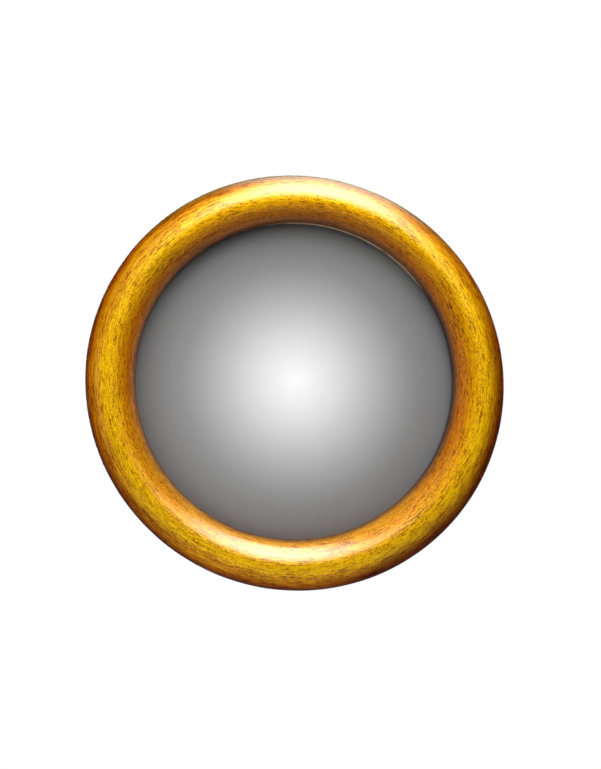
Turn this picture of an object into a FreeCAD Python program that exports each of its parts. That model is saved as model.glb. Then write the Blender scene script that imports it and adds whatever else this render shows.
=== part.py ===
"""Convex butler's mirror: a domed glass in a thick half-round gilded frame, hung on a wall.

The mirror's axis is Y. The front faces -Y, +Z is up, and Y = 0 is the wall, where the rubber pads rest.
Places round the frame are clock angles: degrees clockwise from the top, seen from the front.
Depths are heights above the frame's flat back, towards the front.
"""

import FreeCAD, Part
import math
import os

from FreeCAD import Vector

# Driving dimensions, in millimetres and degrees

# Frame: a half-round moulding bent into a ring, with a rebate behind its inner edge
FRAME_DIAMETER = 400.0
SIGHT_DIAMETER = 302.0
FRAME_DEPTH = 40.0
BACK_EDGE_RADIUS = 6.0
COAT_THICKNESS = 1.2
REBATE_WIDTH = 6.0
REBATE_DEPTH = 13.0
SEGMENT_COUNT = 8

# Splines across the joints between the wooden segments
SPLINE_WIDTH = 20.0
SPLINE_THICKNESS = 4.0
SPLINE_LENGTH = 20.0
SPLINE_CLEARANCE = 0.2
SPLINE_DEPTH = 21.0

# Glass: a slice of a hollow sphere, held against the frame's lip
GLASS_CLEARANCE = 1.0
GLASS_THICKNESS = 3.0
GLASS_CURVE_RADIUS = 500.0
GLASS_TO_LIP_GAP = 0.3

# What holds the glass in: felt in front, packing and a board behind
CUSHION_WIDTH = 3.0
PACKING_WIDTH = 9.0
SOFT_CLEARANCE = 0.1
BOARD_CLEARANCE = 0.8
BOARD_THICKNESS = 3.0
BOARD_BEVEL = 0.6

# Turn buttons: flat strips that turn on a screw and reach over the board
BUTTON_COUNT = 6
BUTTON_FIRST_ANGLE = 30.0
BUTTON_PIVOT_INSET = 13.0
BUTTON_REACH = 26.0
BUTTON_WIDTH = 12.0
BUTTON_THICKNESS = 1.5
BUTTON_EDGE_ROUND = 0.4
BUTTON_SEAT_GAP = 0.1
PIVOT_CLEARANCE = 0.08

# Dome-headed screws of the turn buttons
SCREW_SHANK_DIAMETER = 3.0
SCREW_DEPTH = 12.0
SCREW_TIP_LENGTH = 3.0
SCREW_HEAD_DIAMETER = 6.0
SCREW_HEAD_HEIGHT = 2.0
SCREW_HEAD_GAP = 0.1
RECESS_WIDTH = 0.8
RECESS_LENGTH = 3.2
RECESS_DEPTH = 1.1
PILOT_CLEARANCE = 0.05

# Strap hanger at the top: a strap with a rolled eye, and a ring that swings in it
STRAP_FOOT_INSET = 2.0
STRAP_WIDTH = 12.0
STRAP_LENGTH = 22.0
STRAP_THICKNESS = 1.2
STRAP_CORNER_RADIUS = 2.5
STRAP_SCREW_OFFSETS = (9.2, 18.0)
STRAP_SCREW_HEAD_DIAMETER = 5.4
STRAP_SCREW_SHANK_DIAMETER = 2.8
STRAP_SCREW_DEPTH = 10.0
STRAP_RECESS_LENGTH = 2.8
STRAP_RECESS_DEPTH = 0.9
RING_WIRE_DIAMETER = 2.5
RING_HALF_WIDTH = 9.5
RING_CORNER_RADIUS = 3.0
RING_LEG_HEIGHT = 4.0
RING_CLEARANCE = 0.06

# Rubber pads between the frame and the wall
PAD_COUNT = 4
PAD_FIRST_ANGLE = 45.0
PAD_DIAMETER = 14.0
PAD_THICKNESS = 5.0
PAD_EDGE_ROUND = 1.2

# Directions and places that follow from the dimensions

FRONTWARD = Vector(0, -1, 0)
AXIS = Vector(0, 1, 0)
CENTRE = Vector(0, 0, 0)
SEGMENT_NAMES = {
    8: ("top", "upper_right", "right", "lower_right", "bottom", "lower_left", "left", "upper_left"),
}
PAD_NAMES = {4: ("upper_right", "lower_right", "lower_left", "upper_left")}

frame_radius = FRAME_DIAMETER / 2
sight_radius = SIGHT_DIAMETER / 2
rebate_radius = sight_radius + REBATE_WIDTH
glass_rim_radius = rebate_radius - GLASS_CLEARANCE
board_radius = rebate_radius - BOARD_CLEARANCE
segment_angle = 360.0 / SEGMENT_COUNT
section_middle = (frame_radius + sight_radius) / 2
back_middle = (rebate_radius + frame_radius - BACK_EDGE_RADIUS) / 2
button_pivot = rebate_radius + BUTTON_PIVOT_INSET
strap_foot = rebate_radius + STRAP_FOOT_INSET
eye_height = strap_foot + STRAP_LENGTH
eye_level = RING_WIRE_DIAMETER / 2 + RING_CLEARANCE + STRAP_THICKNESS


def clock_angles(count, first):
    return [first + 360.0 * index / count for index in range(count)]


joint_angles = clock_angles(SEGMENT_COUNT, segment_angle / 2)
button_angles = clock_angles(BUTTON_COUNT, BUTTON_FIRST_ANGLE)
pad_angles = clock_angles(PAD_COUNT, PAD_FIRST_ANGLE)


def at_depth(radius, depth, across=0.0):
    """The point at the top of the ring that is this far from the axis and above the frame's back."""
    return Vector(across, -PAD_THICKNESS - depth, radius)


def at_clock(shape, angle):
    """The shape, made at the top of the ring, turned to a clock angle."""
    turned = shape.copy()
    turned.rotate(CENTRE, AXIS, angle)
    return turned


def outline(points):
    return Part.Face(Part.makePolygon(points + points[:1]))


def ring(section, start=0.0, angle=360.0):
    """A section at the top of the ring, turned about the mirror's axis."""
    return at_clock(section, start).revolve(CENTRE, AXIS, angle)


def rod(radius, base, height, direction=FRONTWARD):
    return Part.makeCylinder(radius, height, base, direction)


def one_solid(shape):
    """The shape's largest solid, without the seams that boolean steps leave on its faces."""
    solid = max(shape.Solids, key=lambda part: part.Volume)
    return solid.removeSplitter()


def group(shapes):
    return Part.makeCompound([solid for shape in shapes for solid in shape.Solids])


def around(shape, angles):
    """Copies of a shape at these clock angles, as one group of separate solids."""
    return group([at_clock(shape, angle) for angle in angles])


def save(name, shape):
    shape.exportStep(f"parts/{name}.step")
    size = shape.BoundBox
    print(f"{name}: {len(shape.Solids)} solid(s), {shape.Volume / 1000:.2f} cm3, "
          f"{size.XLength:.1f} x {size.YLength:.1f} x {size.ZLength:.1f} mm")


# Frame


def moulding_section(inset):
    """The half-round section without its rebate, moved in by the inset from every face but the back."""
    inner = sight_radius + inset
    outer = frame_radius - inset
    crown = FRAME_DEPTH - inset
    round_radius = (outer - inner) / 2
    spring = crown - round_radius
    edge = BACK_EDGE_RADIUS - inset
    diagonal = edge * math.sqrt(0.5)
    over_crown = Part.Arc(
        at_depth(outer, spring), at_depth(section_middle, crown), at_depth(inner, spring)
    )
    under_edge = Part.Arc(
        at_depth(outer - edge, 0),
        at_depth(outer - edge + diagonal, edge - diagonal),
        at_depth(outer, edge),
    )
    edges = [
        over_crown.toShape(),
        Part.makeLine(at_depth(inner, spring), at_depth(inner, 0)),
        Part.makeLine(at_depth(inner, 0), at_depth(outer - edge, 0)),
        under_edge.toShape(),
        Part.makeLine(at_depth(outer, edge), at_depth(outer, spring)),
    ]
    return Part.Face(Part.Wire(edges))


def rebate_section():
    """The step behind the frame's lip that the glass and the board lie in."""
    return outline([
        at_depth(0, 0), at_depth(rebate_radius, 0),
        at_depth(rebate_radius, REBATE_DEPTH), at_depth(0, REBATE_DEPTH),
    ])


def spline_block(clearance):
    """A spline at the top of the ring, or with a clearance the slot that holds it."""
    length = SPLINE_LENGTH + 2 * clearance
    thickness = SPLINE_THICKNESS + 2 * clearance
    width = SPLINE_WIDTH + 2 * clearance
    middle = (rebate_radius + frame_radius) / 2
    corner = at_depth(middle - width / 2, SPLINE_DEPTH + thickness / 2, -length / 2)
    return Part.makeBox(length, thickness, width, corner)


def make_segments(holes):
    """The wooden core, cut into segments, with the slots and screw holes that go into each."""
    core = moulding_section(COAT_THICKNESS).cut(rebate_section()).Faces[0]
    slots = [at_clock(spline_block(SPLINE_CLEARANCE), angle) for angle in joint_angles]
    segments = []
    for angle in clock_angles(SEGMENT_COUNT, 0.0):
        wedge = ring(core, angle - segment_angle / 2, segment_angle)
        segments.append(one_solid(wedge.cut(slots + holes)))
    return segments


def make_coat():
    """The gilded gesso: the part of the section between the wood and the outside."""
    skin = moulding_section(0.0).cut([moulding_section(COAT_THICKNESS), rebate_section()])
    return one_solid(ring(max(skin.Faces, key=lambda face: face.Area)))


# Glass and what holds it


def glass_depth(radius, inward=0.0):
    """Where the glass's front lies at a radius, or a concentric surface this far behind it."""
    lip_radius = sight_radius
    rise_at_lip = math.sqrt(GLASS_CURVE_RADIUS**2 - lip_radius**2)
    sphere_centre = REBATE_DEPTH - GLASS_TO_LIP_GAP - rise_at_lip
    return sphere_centre + math.sqrt((GLASS_CURVE_RADIUS - inward)**2 - radius**2)


def glass_arc(inward):
    points = [at_depth(radius, glass_depth(radius, inward))
              for radius in (0.0, glass_rim_radius / 2, glass_rim_radius)]
    return Part.Arc(*points).toShape()


def make_glass():
    front = glass_arc(0.0)
    back = glass_arc(GLASS_THICKNESS)
    rim_front = at_depth(glass_rim_radius, glass_depth(glass_rim_radius))
    rim_back = at_depth(glass_rim_radius, glass_depth(glass_rim_radius, GLASS_THICKNESS))
    crown_front = at_depth(0, glass_depth(0))
    crown_back = at_depth(0, glass_depth(0, GLASS_THICKNESS))
    rim = Part.makeLine(rim_front, rim_back)
    middle = Part.makeLine(crown_back, crown_front)
    return ring(Part.Face(Part.Wire([front, rim, back, middle])))


def make_cushion():
    """A felt ring that fills the wedge between the lip's shoulder and the front of the glass."""
    outer = glass_rim_radius
    inner = outer - CUSHION_WIDTH
    shoulder = REBATE_DEPTH - SOFT_CLEARANCE
    return ring(outline([
        at_depth(inner, shoulder), at_depth(outer, shoulder),
        at_depth(outer, glass_depth(outer) + SOFT_CLEARANCE),
        at_depth(inner, glass_depth(inner) + SOFT_CLEARANCE),
    ]))


def make_packing():
    """A soft ring between the board and the back of the glass's rim."""
    outer = glass_rim_radius
    inner = outer - PACKING_WIDTH
    bottom = BOARD_THICKNESS + SOFT_CLEARANCE
    return ring(outline([
        at_depth(inner, bottom), at_depth(outer, bottom),
        at_depth(outer, glass_depth(outer, GLASS_THICKNESS) - SOFT_CLEARANCE),
        at_depth(inner, glass_depth(inner, GLASS_THICKNESS) - SOFT_CLEARANCE),
    ]))


def make_board():
    radius = board_radius
    return ring(outline([
        at_depth(0, 0), at_depth(radius - BOARD_BEVEL, 0), at_depth(radius, BOARD_BEVEL),
        at_depth(radius, BOARD_THICKNESS), at_depth(0, BOARD_THICKNESS),
    ]))


# Turn buttons and their screws


def make_button():
    """A strip with round ends that points from its screw towards the mirror's axis."""
    half = BUTTON_WIDTH / 2
    near = button_pivot
    far = near - BUTTON_REACH + half
    level = -BUTTON_SEAT_GAP
    edges = [
        Part.makeLine(at_depth(far, level, half), at_depth(near, level, half)),
        Part.Arc(
            at_depth(near, level, half), at_depth(near + half, level), at_depth(near, level, -half)
        ).toShape(),
        Part.makeLine(at_depth(near, level, -half), at_depth(far, level, -half)),
        Part.Arc(
            at_depth(far, level, -half), at_depth(far - half, level), at_depth(far, level, half)
        ).toShape(),
    ]
    strip = Part.Face(Part.Wire(edges)).extrude(-FRONTWARD * BUTTON_THICKNESS)
    top = [edge for edge in strip.Edges if edge.BoundBox.YMin > at_depth(0, level).y]
    strip = strip.makeFillet(BUTTON_EDGE_ROUND, top)
    hole_radius = SCREW_SHANK_DIAMETER / 2 + PIVOT_CLEARANCE
    hole = rod(hole_radius, at_depth(near, level - BUTTON_THICKNESS), BUTTON_THICKNESS)
    return one_solid(strip.cut(hole))


def cross_recess(top, length, depth):
    """A cross cut into a screw's head from its top."""
    arms = []
    for across, along in ((length, RECESS_WIDTH), (RECESS_WIDTH, length)):
        corner = top + Vector(-across / 2, -depth, -along / 2)
        arms.append(Part.makeBox(across, depth, along, corner))
    return arms[0].fuse(arms[1])


def pointed_shank(radius, seat, length):
    """A shank from the seat down into the wood, with a cone at its end."""
    straight = length - SCREW_TIP_LENGTH
    shank = rod(radius, seat, straight)
    tip_base = seat + FRONTWARD * straight
    tip = Part.makeCone(radius, 0, SCREW_TIP_LENGTH, tip_base, FRONTWARD)
    return shank.fuse(tip)


def make_button_screw():
    """A screw with a domed head that clamps nothing: the button turns under its head."""
    seat_level = -(BUTTON_SEAT_GAP + BUTTON_THICKNESS + SCREW_HEAD_GAP)
    seat = at_depth(button_pivot, seat_level)
    top = at_depth(button_pivot, seat_level - SCREW_HEAD_HEIGHT)
    head_radius = SCREW_HEAD_DIAMETER / 2
    dome_radius = (head_radius**2 + SCREW_HEAD_HEIGHT**2) / (2 * SCREW_HEAD_HEIGHT)
    ball = Part.makeSphere(dome_radius, top + FRONTWARD * dome_radius)
    head = ball.common(rod(head_radius, top, SCREW_HEAD_HEIGHT))
    shank = pointed_shank(SCREW_SHANK_DIAMETER / 2, seat, SCREW_DEPTH - seat_level)
    recess = cross_recess(top, RECESS_LENGTH, RECESS_DEPTH)
    return one_solid(head.fuse(shank).cut(recess))


def pilot(radius, shank_diameter, depth):
    """The hole in the wood that a screw goes into, this far from the mirror's axis."""
    wall_radius = shank_diameter / 2 + PILOT_CLEARANCE
    return rod(wall_radius, at_depth(radius, 0), depth + PILOT_CLEARANCE)


def button_pilots():
    hole = pilot(button_pivot, SCREW_SHANK_DIAMETER, SCREW_DEPTH)
    return [at_clock(hole, angle) for angle in button_angles]


# Strap hanger


def strap_screw_tops():
    """Where each strap screw's head lies level with the strap's outer face."""
    return [at_depth(eye_height - offset, -STRAP_THICKNESS) for offset in STRAP_SCREW_OFFSETS]


def sunk_head(top, clearance):
    """A countersunk head below its top, or with a clearance the sink that it lies in."""
    head_radius = STRAP_SCREW_HEAD_DIAMETER / 2
    shank_radius = STRAP_SCREW_SHANK_DIAMETER / 2
    sink = head_radius - shank_radius
    return Part.makeCone(head_radius + clearance, shank_radius + clearance, sink, top, FRONTWARD)


def strap_screw_hole(top):
    """The sink and the hole that a strap screw fills, through the strap and into the wood."""
    wall_radius = STRAP_SCREW_SHANK_DIAMETER / 2 + PILOT_CLEARANCE
    hole = rod(wall_radius, top, STRAP_SCREW_DEPTH + PILOT_CLEARANCE)
    return sunk_head(top, PILOT_CLEARANCE).fuse(hole)


def make_strap():
    """A flat strap on the wood with its upper end rolled into an eye round the ring's bar."""
    half = STRAP_WIDTH / 2
    bore = RING_WIRE_DIAMETER / 2 + RING_CLEARANCE
    eye_start = at_depth(eye_height, -eye_level, -half)
    across = Vector(1, 0, 0)
    eye = rod(bore + STRAP_THICKNESS, eye_start, STRAP_WIDTH, across)
    corner = at_depth(strap_foot, 0, -half)
    plate = Part.makeBox(STRAP_WIDTH, STRAP_THICKNESS, STRAP_LENGTH, corner)
    lower = [edge for edge in plate.Edges
             if abs(edge.BoundBox.ZMax - corner.z) < 0.001 and edge.BoundBox.YLength > 0.5]
    plate = plate.makeFillet(STRAP_CORNER_RADIUS, lower)
    strap = plate.fuse(eye).cut(rod(bore, eye_start, STRAP_WIDTH, across))
    return one_solid(strap.cut([strap_screw_hole(top) for top in strap_screw_tops()]))


def make_strap_screws():
    screws = []
    for top in strap_screw_tops():
        shank = pointed_shank(STRAP_SCREW_SHANK_DIAMETER / 2, top, STRAP_SCREW_DEPTH)
        recess = cross_recess(top, STRAP_RECESS_LENGTH, STRAP_RECESS_DEPTH)
        screws.append(one_solid(sunk_head(top, 0.0).fuse(shank).cut(recess)))
    return group(screws)


def make_ring():
    """A D-shaped wire ring: its straight bar lies in the eye, and its bow points up."""
    level = -eye_level
    bar = eye_height
    side = RING_HALF_WIDTH
    corner = RING_CORNER_RADIUS
    bend = corner * (1 - math.sqrt(0.5))
    bow_start = bar + RING_LEG_HEIGHT

    def spot(across, up):
        return at_depth(up, level, across)

    path = Part.Wire([
        Part.makeLine(spot(corner - side, bar), spot(side - corner, bar)),
        Part.Arc(spot(side - corner, bar), spot(side - bend, bar + bend),
                 spot(side, bar + corner)).toShape(),
        Part.makeLine(spot(side, bar + corner), spot(side, bow_start)),
        Part.Arc(spot(side, bow_start), spot(0, bow_start + side),
                 spot(-side, bow_start)).toShape(),
        Part.makeLine(spot(-side, bow_start), spot(-side, bar + corner)),
        Part.Arc(spot(-side, bar + corner), spot(bend - side, bar + bend),
                 spot(corner - side, bar)).toShape(),
    ])
    start = spot(corner - side, bar)
    section = Part.Wire(Part.makeCircle(RING_WIRE_DIAMETER / 2, start, Vector(1, 0, 0)))
    return path.makePipeShell([section], True, False)


# Pads


def make_pad():
    pad = rod(PAD_DIAMETER / 2, at_depth(back_middle, -PAD_THICKNESS), PAD_THICKNESS)
    wall_edge = [edge for edge in pad.Edges if edge.BoundBox.YMin > -PAD_THICKNESS / 2]
    return pad.makeFillet(PAD_EDGE_ROUND, wall_edge)


def numbered(names, count):
    return names.get(count) or [str(index + 1) for index in range(count)]


def build():
    os.makedirs("parts", exist_ok=True)
    strap_screw_holes = [strap_screw_hole(top) for top in strap_screw_tops()]

    segment_names = numbered(SEGMENT_NAMES, SEGMENT_COUNT)
    for name, segment in zip(segment_names, make_segments(button_pilots() + strap_screw_holes)):
        save(f"frame_segment_{name}", segment)
    save("joint_splines", around(spline_block(0.0), joint_angles))
    save("gilded_coat", make_coat())

    save("mirror_glass", make_glass())
    save("glass_cushion", make_cushion())
    save("packing_ring", make_packing())
    save("backing_board", make_board())

    for index, angle in enumerate(button_angles):
        save(f"turn_button_{index + 1}", at_clock(make_button(), angle))
    save("turn_button_screws", around(make_button_screw(), button_angles))

    save("hanger_strap", make_strap())
    save("hanger_ring", make_ring())
    save("hanger_screws", make_strap_screws())

    for name, angle in zip(numbered(PAD_NAMES, PAD_COUNT), pad_angles):
        save(f"bumper_pad_{name}", at_clock(make_pad(), angle))


build()
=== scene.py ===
# %% [markdown]
# # A convex butler's mirror
#
# The real object is a round wall mirror: a glass slumped over a shallow dome and silvered, behind
# the lip of a thick half-round frame. The frame is wood, turned on a faceplate, covered in gesso
# and red bole, and laid with gold leaf that has been rubbed and toned. This lesson dresses a
# measured model of it. The model gives every size and joint. What is added is what a camera
# would see: the hand-made shape, the leaf, the glass and the ironmongery on the back.

# %% Load the measured model
import math

import bmesh
import bpy
from mathutils import Matrix, Vector


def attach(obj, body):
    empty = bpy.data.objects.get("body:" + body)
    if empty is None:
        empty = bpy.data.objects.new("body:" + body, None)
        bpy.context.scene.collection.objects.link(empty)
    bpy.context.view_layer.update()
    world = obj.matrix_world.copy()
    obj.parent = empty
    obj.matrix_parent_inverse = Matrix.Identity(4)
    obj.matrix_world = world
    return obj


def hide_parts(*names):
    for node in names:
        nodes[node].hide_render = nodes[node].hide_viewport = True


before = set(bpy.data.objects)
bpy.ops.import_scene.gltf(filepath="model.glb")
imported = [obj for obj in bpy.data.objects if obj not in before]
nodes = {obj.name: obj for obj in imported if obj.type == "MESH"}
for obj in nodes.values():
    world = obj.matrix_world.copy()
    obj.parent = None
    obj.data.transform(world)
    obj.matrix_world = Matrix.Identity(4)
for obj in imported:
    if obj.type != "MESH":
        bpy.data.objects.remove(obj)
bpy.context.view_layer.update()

# %% [markdown]
# ## Small helpers
#
# Paint charts give colours as sRGB hex values, but shaders add light together, so they need
# linear values. One function turns one into the other. Another adds any node to any tree, sets
# its properties and feeds its inputs, so that a tree reads as a list of what it does.

# %% Colour, length and node helpers
MM = 0.001


def linear(hex_colour):
    """An sRGB colour such as "#c8901a" as the linear RGBA that a shader takes."""
    parts = [int(hex_colour[i:i + 2], 16) / 255 for i in (1, 3, 5)]
    return [p / 12.92 if p <= 0.04045 else ((p + 0.055) / 1.055) ** 2.4 for p in parts] + [1.0]


def add(tree, kind, feeds=None, **settings):
    """A new node with these settings. Plain values, nodes or sockets feed its inputs."""
    node = tree.nodes.new(kind)
    for name, value in settings.items():
        setattr(node, name, value)
    for key, value in (feeds or {}).items():
        if isinstance(key, int):
            socket = node.inputs[key]
        else:
            socket = next(s for s in node.inputs if s.enabled and s.name == key)
        if isinstance(value, bpy.types.Node):
            value = next(s for s in value.outputs if s.enabled)
        if isinstance(value, bpy.types.NodeSocket):
            tree.links.new(value, socket)
        else:
            socket.default_value = value
    return node


def finish(name, build):
    """A material whose surface comes from build(tree), which returns the shader node."""
    material = bpy.data.materials.new(name)
    material.use_nodes = True
    tree = material.node_tree
    tree.nodes.clear()
    add(tree, "ShaderNodeOutputMaterial", {"Surface": build(tree)})
    return material


def colour_ramp(node, stops):
    """Sets a Color Ramp's stops from (place, hex colour) pairs."""
    ramp = node.color_ramp
    while len(ramp.elements) < len(stops):
        ramp.elements.new(0.5)
    for element, (place, colour) in zip(ramp.elements, stops):
        element.position = place
    for element, (place, colour) in zip(ramp.elements, stops):
        element.color = linear(colour)
    return node


print("gold leaf in linear light:", [round(v, 3) for v in linear("#dc9f0a")[:3]])

# %% [markdown]
# ## The camera
#
# The photograph was taken from the front with a long lens, a little from the left and below: the
# frame's inner wall just shows at the upper right. 36 mm of sensor lies along the picture's
# height, so an 85 mm lens sees 0.96 mm of the frame per pixel from 1.74 m away.

# %% Camera
LENS = 85.0
SENSOR = 36.0
SIGHT_PLANE = -0.0205
CAMERA_DISTANCE = 1.7385
CAMERA_AZIMUTH = math.radians(-4.5)
CAMERA_ELEVATION = math.radians(-4.5)
AIM_RIGHT, AIM_DOWN = 0.0058, 0.0035

toward_camera = Vector((
    math.sin(CAMERA_AZIMUTH) * math.cos(CAMERA_ELEVATION),
    -math.cos(CAMERA_AZIMUTH) * math.cos(CAMERA_ELEVATION),
    math.sin(CAMERA_ELEVATION),
))
facing = (-toward_camera).to_track_quat("-Z", "Y")
aim = Vector((0, SIGHT_PLANE, 0)) + facing @ Vector((AIM_RIGHT, -AIM_DOWN, 0))
camera_data = bpy.data.cameras.new("front_camera")
camera_data.lens = LENS
camera_data.sensor_width = SENSOR
camera = bpy.data.objects.new("front_camera", camera_data)
camera.location = aim + toward_camera * CAMERA_DISTANCE
camera.rotation_euler = facing.to_euler()
bpy.context.scene.collection.objects.link(camera)
bpy.context.scene.camera = camera
print("camera at", [round(v, 3) for v in camera.location])

# %% [markdown]
# ## The room that the glass reflects
#
# A convex mirror shows the whole room in front of it. In the photograph that is a white glow in
# the middle, which fades evenly to mid grey at the rim. A world whose brightness falls with the
# angle from one direction gives just that, because each ring of the dome reflects one angle. Far
# to the sides, where only other views look, the room is lighter again. The glow is for the
# mirror's sharp reflections only. Satin surfaces see a dark room with a bank of soft lamps
# overhead, a little to the right, and a dim wall behind the object. That keeps the gold deep, with
# a cream sheen where it faces up. The camera sees plain white.

# %% World
GLOW_STOPS = (
    # degrees from the glow's middle, brightness
    (0.0, 1.010), (3.0, 0.948), (6.0, 0.872), (9.0, 0.792), (12.0, 0.708), (15.0, 0.616),
    (18.0, 0.532), (21.0, 0.454), (24.1, 0.379), (27.2, 0.316), (30.3, 0.263), (33.4, 0.220),
    (36.0, 0.196), (42.0, 0.19), (58.0, 0.28), (90.0, 0.42), (180.0, 0.5),
)
GLOW_PEAK = GLOW_STOPS[0][1]
GLOW_SPAN = 180.0
# A ray's depth here is 1 more than its bounces, so this keeps the glow to one mirror bounce.
GLOW_DEPTH = 2.5
OVERHEAD_BANK = (
    # clock angle, angle off the axis, width of its bright middle, width to its edge, brightness
    (11, 38, 4, 21, 7.0), (12, 60, 8, 26, 7.2), (12, 86, 8, 27, 3.2), (12, 116, 8, 27, 2.2),
)
REAR_ROOM = 0.09
# Cosines from straight back: where the dim wall starts and is full, then fades and is gone.
WALL_RISES, WALL_FALLS = (0.70, 0.85), (0.90, 0.98)
SOFT_ROOM = 0.03
GLASS_APEX = Vector((0, -0.041, 0))
GLOW_LEFT, GLOW_DOWN = 0.004, 0.006
to_camera = (camera.location - GLASS_APEX).normalized()
glow_direction = Vector((
    -to_camera.x - GLOW_LEFT, to_camera.y, -to_camera.z - GLOW_DOWN)).normalized()


def pointing(clock, off_axis):
    """A way out from the mirror, from its clock angle on the face and its angle off the axis."""
    clock, off_axis = math.radians(clock), math.radians(off_axis)
    aside = math.sin(off_axis)
    return Vector((math.sin(clock) * aside, -math.cos(off_axis), math.cos(clock) * aside))


world = bpy.data.worlds.new("studio")
bpy.context.scene.world = world
world.use_nodes = True
world.cycles.sampling_method = "NONE"
sky = world.node_tree
sky.nodes.clear()
direction = add(sky, "ShaderNodeTexCoord").outputs["Generated"]
along_glow = add(sky, "ShaderNodeVectorMath", {0: direction, 1: glow_direction},
                 operation="DOT_PRODUCT").outputs["Value"]
angle = add(sky, "ShaderNodeMath", {0: along_glow}, operation="ARCCOSINE")
place = add(sky, "ShaderNodeMath", {0: angle, 1: math.radians(GLOW_SPAN)}, operation="DIVIDE")
glow = add(sky, "ShaderNodeFloatCurve", {"Value": place})
curve = glow.mapping.curves[0]
for degrees, level in GLOW_STOPS[1:-1]:
    curve.points.new(degrees / GLOW_SPAN, level / GLOW_PEAK)
curve.points[0].location = (0.0, 1.0)
curve.points[len(GLOW_STOPS) - 1].location = (1.0, GLOW_STOPS[-1][1] / GLOW_PEAK)
glow.mapping.update()
ray = add(sky, "ShaderNodeLightPath").outputs
straight = add(sky, "ShaderNodeMath", {0: ray["Ray Depth"], 1: GLOW_DEPTH}, operation="LESS_THAN")
sharp = add(sky, "ShaderNodeMath", {0: glow, 1: GLOW_PEAK}, operation="MULTIPLY")
sharp = add(sky, "ShaderNodeMath", {0: sharp, 1: straight}, operation="MULTIPLY")
rearward = add(sky, "ShaderNodeSeparateXYZ", {0: direction}).outputs["Y"]
wall = add(sky, "ShaderNodeMapRange", {
    "Value": rearward, "From Min": WALL_RISES[0], "From Max": WALL_RISES[1], "To Max": REAR_ROOM})
wall_ends = add(sky, "ShaderNodeMapRange", {
    "Value": rearward, "From Min": WALL_FALLS[0], "From Max": WALL_FALLS[1],
    "To Min": 1.0, "To Max": 0.0})
satin = add(sky, "ShaderNodeMath", {0: wall, 1: wall_ends}, operation="MULTIPLY")
for clock, off_axis, core, rim, brightness in OVERHEAD_BANK:
    toward_lamp = add(sky, "ShaderNodeVectorMath", {0: direction, 1: pointing(clock, off_axis)},
                      operation="DOT_PRODUCT").outputs["Value"]
    lamp_glow = add(sky, "ShaderNodeMapRange", {
        "Value": toward_lamp,
        "From Min": math.cos(math.radians(rim)), "From Max": math.cos(math.radians(core)),
        "To Max": brightness}, interpolation_type="SMOOTHSTEP")
    satin = add(sky, "ShaderNodeMath", {0: satin, 1: lamp_glow}, operation="ADD")
level = add(sky, "ShaderNodeMix", {"Factor": ray["Is Glossy Ray"], "A": SOFT_ROOM, "B": satin})
level = add(sky, "ShaderNodeMix", {"Factor": ray["Is Singular Ray"], "A": level, "B": sharp})
level = add(sky, "ShaderNodeMix", {"Factor": ray["Is Camera Ray"], "A": level, "B": 1.0})
add(sky, "ShaderNodeOutputWorld", {
    "Surface": add(sky, "ShaderNodeBackground", {"Color": (1, 1, 1, 1), "Strength": level})})
print("glow towards", [round(v, 3) for v in glow_direction])

# %% [markdown]
# ## Lamps
#
# The key light comes from above and from the left. The world already gives the satin sheen and
# the glass's image, so these lamps only light the colours, as light through a scrim does. The one
# behind also gives the metal fittings their highlights.

# %% Lamps
LAMPS = (
    # name, clock angle, angle off the axis, distance, width, length, brightness, gives sheen
    ("overhead_front", 12, 35, 1.7, 1.25, 0.75, 3.9, False),
    ("overhead_middle", 12, 60, 1.7, 1.25, 0.75, 7.9, False),
    ("overhead_rear", 12, 88, 1.7, 1.25, 0.95, 2.1, False),
    ("upper_left_key", 322, 57, 2.0, 1.2, 1.4, 4.3, False),
    ("left_fill", 270, 65, 2.0, 1.1, 1.1, 3.6, False),
    ("back_lamp", 350, 168, 2.2, 1.3, 0.9, 4.6, True),
)
for name, clock, off_axis, distance, width, length, brightness, sheen in LAMPS:
    lamp_data = bpy.data.lights.new(name, "AREA")
    lamp_data.shape = "RECTANGLE"
    lamp_data.size, lamp_data.size_y = width, length
    lamp_data.energy = brightness * math.pi * width * length
    lamp = bpy.data.objects.new(name, lamp_data)
    outward = pointing(clock, off_axis)
    level_side = outward.cross(Vector((0, 1, 0))).normalized()
    rising = outward.cross(level_side)
    lamp.location = outward * distance
    lamp.rotation_euler = Matrix((level_side, rising, outward)).transposed().to_euler()
    lamp.visible_glossy = sheen
    bpy.context.scene.collection.objects.link(lamp)
    print(f"{name}: {lamp_data.energy:.1f} W")

# %% [markdown]
# ## The floor
#
# The mirror hangs on a wall, so the floor is well below it. It is pale and matt, and turns to the
# white of the background towards its rim. The dome doesn't show it.

# %% Floor
FLOOR_LEVEL = -0.75
FLOOR_RADIUS = 2.2
FLOOR_PLAIN = 0.8
FLOOR_SIDES = 96
FLOOR_SPECKLE = 90.0


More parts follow.
